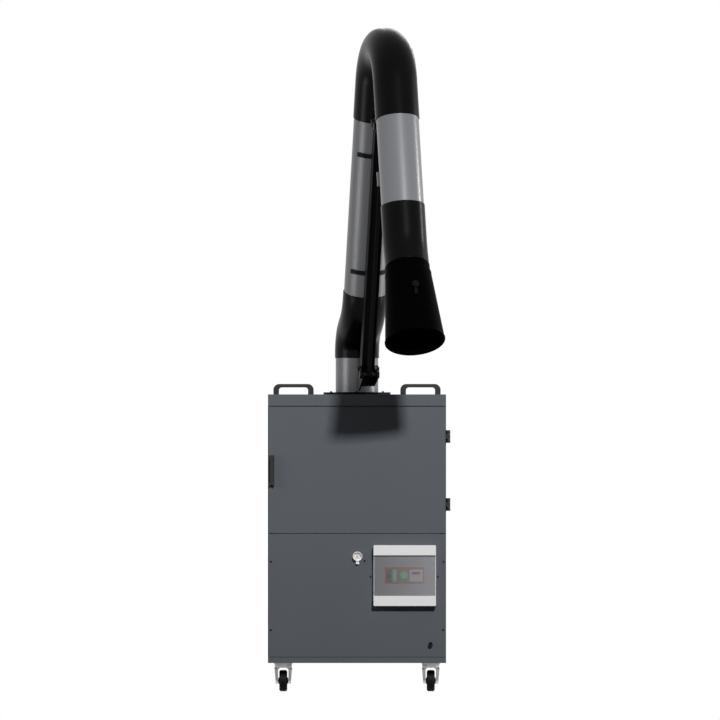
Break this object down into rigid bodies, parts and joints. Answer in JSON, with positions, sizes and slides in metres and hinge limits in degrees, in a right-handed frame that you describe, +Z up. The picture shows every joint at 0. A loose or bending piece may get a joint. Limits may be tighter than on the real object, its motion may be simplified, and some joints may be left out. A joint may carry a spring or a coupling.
{
  "type": "mobile welding fume extractor",
  "caption": "Mobile welding fume extractor: grey steel cabinet on castors with a hinged filter door and control box, and a jointed black hose arm with a tapered hood.",
  "frame": {"origin": "on the floor, straight below the arm's swivel axis", "axes": "+Z up, -Y out of the front with door and control box, +X to the right seen from the front"},
  "size_m": [0.684, 1.5176, 2.4961],
  "materials": {
    "cabinet_paint": "satin grey powder coat",
    "lid_paint": "satin grey powder coat",
    "tube_paint": "satin grey powder coat",
    "black_paint": "satin black",
    "galvanised": "dull zinc",
    "zinc_steel": "zinc plated",
    "aluminium_casting": "cast",
    "aluminium_sheet": "mill finish",
    "filter_medium": "pleated fleece",
    "black_plastic": "fine texture",
    "box_plastic": "light grey moulding",
    "fascia_plastic": "grey moulding",
    "module_plastic": "pale moulding",
    "green_plastic": "glossy",
    "smoked_plastic": "smoked clear",
    "dial_white": "glossy",
    "clear_glass": "clear",
    "needle_red": "satin",
    "seal_rubber": "matt",
    "tyre_rubber": "matt",
    "hose_rubber": "glossy coated",
    "hood_gloss": "glossy black"
  },
  "bodies": {
    "cabinet": {"base_tray": "cabinet_paint", "cabinet_shell": "cabinet_paint", "lid": "lid_paint", "fan_shelf": "galvanised", "spark_trap": "aluminium_sheet", "filter_cassette": "filter_medium", "fan_scroll": "galvanised", "fan_motor": "aluminium_casting", "outlet_grille": "cabinet_paint", "hinge_cabinet_leaves": "black_plastic", "lower_panel": "cabinet_paint", "panel_screws": "black_paint", "control_box": "box_plastic", "control_fascia": "fascia_plastic", "breaker_body": "black_plastic", "device_modules": "module_plastic", "gauge_case": "dial_white", "gauge_glass": "clear_glass", "cable_gland": "black_plastic", "carry_handles": "black_plastic", "castor_plates": "zinc_steel", "castor_forks_rear": "zinc_steel", "swivel_flange": "black_paint"},
    "fan_rotor": {"fan_impeller": "galvanised"},
    "door": {"filter_door": "cabinet_paint", "door_seal": "seal_rubber", "hinge_door_leaves": "black_plastic", "latch_base": "black_plastic"},
    "door_lever": {"latch_lever": "black_plastic"},
    "door_bolt": {"latch_bolt": "zinc_steel"},
    "box_flap": {"smoked_flap": "smoked_plastic"},
    "breaker_lever": {"breaker_toggle": "black_plastic"},
    "button": {"start_button": "green_plastic"},
    "needle": {"gauge_pointer": "needle_red"},
    "castor_left": {"castor_fork_front_left": "zinc_steel"},
    "castor_right": {"castor_fork_front_right": "zinc_steel"},
    "wheel_front_left": {"castor_wheel_front_left": "tyre_rubber"},
    "wheel_front_right": {"castor_wheel_front_right": "tyre_rubber"},
    "wheel_rear_left": {"castor_wheel_rear_left": "tyre_rubber"},
    "wheel_rear_right": {"castor_wheel_rear_right": "tyre_rubber"},
    "turntable": {"swivel_duct": "tube_paint", "pivot_bracket": "black_paint", "lower_pivot_bolts": "black_plastic", "base_hose": "hose_rubber"},
    "lower_arm": {"lower_beam": "black_paint", "lower_tube": "tube_paint", "lower_saddles": "black_paint"},
    "tie": {"tie_rod": "black_paint"},
    "elbow": {"elbow_plate": "black_paint", "elbow_pivot_bolts": "black_plastic", "top_hose": "hose_rubber"},
    "upper_arm": {"upper_beam": "black_paint", "upper_tube": "tube_paint", "upper_saddle": "tube_paint", "hood_hose": "hose_rubber"},
    "hood_neck": {"hood_collar": "black_paint", "hood_pivot_bolt": "black_plastic"},
    "hood_body": {"hood": "hood_gloss"},
    "damper": {"damper_blade": "aluminium_sheet", "damper_knob": "black_plastic"}
  },
  "joints": [
    {"name": "arm_swivel", "type": "hinge", "parent": "cabinet", "child": "turntable", "pos_m": [0, 0, 1.1135], "axis": [0, 0, 1], "continuous": true},
    {"name": "lower_arm_tilt", "type": "hinge", "parent": "turntable", "child": "lower_arm", "pos_m": [0.03671, -0.18371, 1.2005], "axis": [0.9806, 0.1959, 0], "range_deg": [-25, 40], "deforming": ["base_hose"]},
    {"name": "tie_rod_tilt", "type": "hinge", "parent": "turntable", "child": "tie", "pos_m": [0.04517, -0.22604, 1.18779], "axis": [0.9806, 0.1959, 0], "range_deg": [-25, 40]},
    {"name": "elbow_level", "type": "hinge", "parent": "lower_arm", "child": "elbow", "pos_m": [0.09034, -0.45211, 2.1305], "axis": [0.9806, 0.1959, 0], "range_deg": [-40, 25]},
    {"name": "upper_arm_open", "type": "hinge", "parent": "elbow", "child": "upper_arm", "pos_m": [0.12973, -0.64926, 2.1305], "axis": [-0.9806, -0.1959, 0], "range_deg": [0, 100], "deforming": ["top_hose"]},
    {"name": "hood_pitch", "type": "hinge", "parent": "upper_arm", "child": "hood_neck", "pos_m": [0.15987, -0.80005, 1.63374], "axis": [-0.9806, -0.1959, 0], "range_deg": [-35, 35], "deforming": ["hood_hose"]},
    {"name": "hood_turn", "type": "hinge", "parent": "hood_neck", "child": "hood_body", "pos_m": [0.18568, -0.92922, 1.61893], "axis": [0.0923, -0.4619, -0.8821], "continuous": true},
    {"name": "damper_turn", "type": "hinge", "parent": "hood_body", "child": "damper", "pos_m": [0.20063, -1.00404, 1.47603], "axis": [0.1728, -0.865, 0.471], "range_deg": [0, 90]},
    {"name": "filter_door_hinge", "type": "hinge", "parent": "cabinet", "child": "door", "pos_m": [0.342, -0.299, 0.828], "axis": [0, 0, 1], "range_deg": [0, 110]},
    {"name": "latch_lever_lift", "type": "hinge", "parent": "door", "child": "door_lever", "pos_m": [-0.3205, -0.331, 0.777], "axis": [1, 0, 0], "range_deg": [0, 60]},
    {"name": "latch_bolt_slide", "type": "slide", "parent": "door", "child": "door_bolt", "axis": [1, 0, 0], "range_m": [0, 0.014]},
    {"name": "flap_lift", "type": "hinge", "parent": "cabinet", "child": "box_flap", "pos_m": [0.179, -0.351, 0.5035], "axis": [-1, 0, 0], "range_deg": [0, 100]},
    {"name": "breaker_switch", "type": "hinge", "parent": "cabinet", "child": "breaker_lever", "pos_m": [0.121, -0.342, 0.434], "axis": [-1, 0, 0], "range_deg": [0, 40]},
    {"name": "start_button_press", "type": "slide", "parent": "cabinet", "child": "button", "axis": [0, 1, 0], "range_m": [0, 0.004], "stiffness_N_per_m": 800, "springref_m": -0.002},
    {"name": "gauge_needle_turn", "type": "hinge", "parent": "cabinet", "child": "needle", "pos_m": [0.002, -0.325, 0.506], "axis": [0, 1, 0], "range_deg": [0, 270]},
    {"name": "fan_spin", "type": "hinge", "parent": "cabinet", "child": "fan_rotor", "pos_m": [0, 0.02, 0.5], "axis": [0, 0, 1], "continuous": true},
    {"name": "castor_left_swivel", "type": "hinge", "parent": "cabinet", "child": "castor_left", "pos_m": [-0.2765, -0.255, 0.1], "axis": [0, 0, 1], "continuous": true},
    {"name": "castor_right_swivel", "type": "hinge", "parent": "cabinet", "child": "castor_right", "pos_m": [0.2765, -0.255, 0.1], "axis": [0, 0, 1], "continuous": true},
    {"name": "wheel_front_left_roll", "type": "hinge", "parent": "castor_left", "child": "wheel_front_left", "pos_m": [-0.2765, -0.227, 0.04], "axis": [1, 0, 0], "continuous": true},
    {"name": "wheel_front_right_roll", "type": "hinge", "parent": "castor_right", "child": "wheel_front_right", "pos_m": [0.2765, -0.227, 0.04], "axis": [1, 0, 0], "continuous": true},
    {"name": "wheel_rear_left_roll", "type": "hinge", "parent": "cabinet", "child": "wheel_rear_left", "pos_m": [-0.2765, 0.255, 0.04], "axis": [1, 0, 0], "continuous": true},
    {"name": "wheel_rear_right_roll", "type": "hinge", "parent": "cabinet", "child": "wheel_rear_right", "pos_m": [0.2765, 0.255, 0.04], "axis": [1, 0, 0], "continuous": true}
  ],
  "couplings": [
    {"joint": "tie_rod_tilt", "follows": "lower_arm_tilt", "ratio": 1},
    {"joint": "elbow_level", "follows": "lower_arm_tilt", "ratio": -1},
    {"joint": "latch_bolt_slide", "follows": "latch_lever_lift", "m_per_rad": 0.012}
  ]
}
